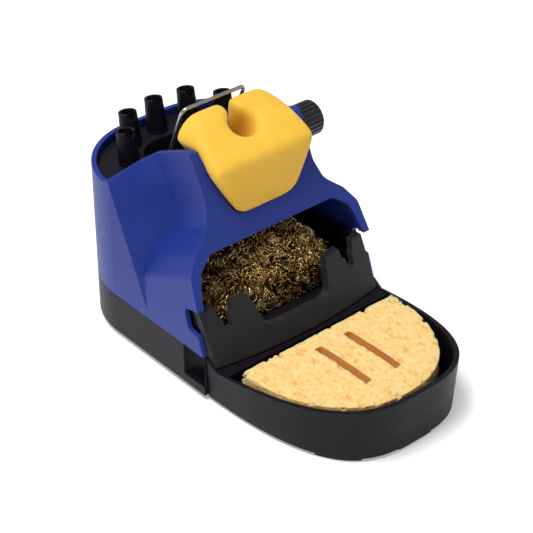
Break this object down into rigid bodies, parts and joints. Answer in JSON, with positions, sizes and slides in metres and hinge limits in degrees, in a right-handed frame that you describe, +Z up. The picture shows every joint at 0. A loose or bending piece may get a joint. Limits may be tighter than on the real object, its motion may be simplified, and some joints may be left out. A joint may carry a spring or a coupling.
{
  "type": "soldering iron stand",
  "caption": "Desk stand for a soldering iron: tilting funnel block in a hollow sloping tower, brass wool and wet sponge cleaners in front, tip posts and a wire bail behind",
  "frame": {"origin": "on the table under the middle of the stand's bounding box", "axes": "+X is the user's right, +Y points to the back where the tip rack is, +Z is up; the sponge tray is at -Y"},
  "size_m": [0.086, 0.159, 0.0965],
  "materials": {
    "housing_plastic": "fine-grained matt blue ABS",
    "black_plastic": "fine-grained matt black plastic",
    "knob_plastic": "satin black moulded plastic with flutes",
    "core_plastic": "heat-resistant black plastic",
    "yellow_silicone": "matt yellow silicone rubber",
    "cleaner_rubber": "matt black silicone rubber",
    "foot_rubber": "matt black rubber",
    "sponge": "open-pored cellulose sponge",
    "brass_wool": "curled bright brass shavings",
    "steel_wire": "drawn spring steel wire",
    "zinc_steel": "zinc-plated steel"
  },
  "bodies": {
    "base": {"lower_base": "black_plastic", "ballast_plate": "zinc_steel", "base_screws": "zinc_steel", "base_feet": "foot_rubber", "wool_case": "black_plastic", "rubber_cleaner": "cleaner_rubber", "brass_wool": "brass_wool"},
    "tray": {"sponge_tray": "black_plastic", "tray_feet": "foot_rubber"},
    "sponge": {"cleaning_sponge": "sponge"},
    "housing": {"upper_housing": "housing_plastic", "clamp_washer": "zinc_steel"},
    "rack": {"tip_rack": "black_plastic", "tip_posts": "black_plastic"},
    "bail": {"wire_bail": "steel_wire"},
    "receptacle": {"iron_receptacle": "yellow_silicone", "receptacle_core": "core_plastic", "pivot_pin": "zinc_steel", "clamp_nut": "zinc_steel"},
    "knob": {"clamp_knob": "knob_plastic", "clamp_stud": "zinc_steel"}
  },
  "joints": [
    {"name": "tray_pull", "type": "slide", "parent": "base", "child": "tray", "axis": [0, -1, 0], "range_m": [0, 0.09]},
    {"name": "sponge_lift", "type": "slide", "parent": "tray", "child": "sponge", "axis": [0, 0, 1], "range_m": [0, 0.04]},
    {"name": "housing_lift", "type": "slide", "parent": "base", "child": "housing", "axis": [0, 0, 1], "range_m": [0, 0.1]},
    {"name": "rack_lift", "type": "slide", "parent": "housing", "child": "rack", "axis": [0, 0, 1], "range_m": [0, 0.04]},
    {"name": "bail_swing", "type": "hinge", "parent": "rack", "child": "bail", "pos_m": [0, 0.0497, 0.06], "axis": [-1, 0, 0], "range_deg": [0, 60]},
    {"name": "receptacle_tilt", "type": "hinge", "parent": "housing", "child": "receptacle", "pos_m": [0, 0.0275, 0.0745], "axis": [-1, 0, 0], "range_deg": [-2, 8]},
    {"name": "knob_turn", "type": "hinge", "parent": "receptacle", "child": "knob", "pos_m": [0.038, 0.0275, 0.0745], "axis": [1, 0, 0], "range_deg": [0, 360]}
  ]
}
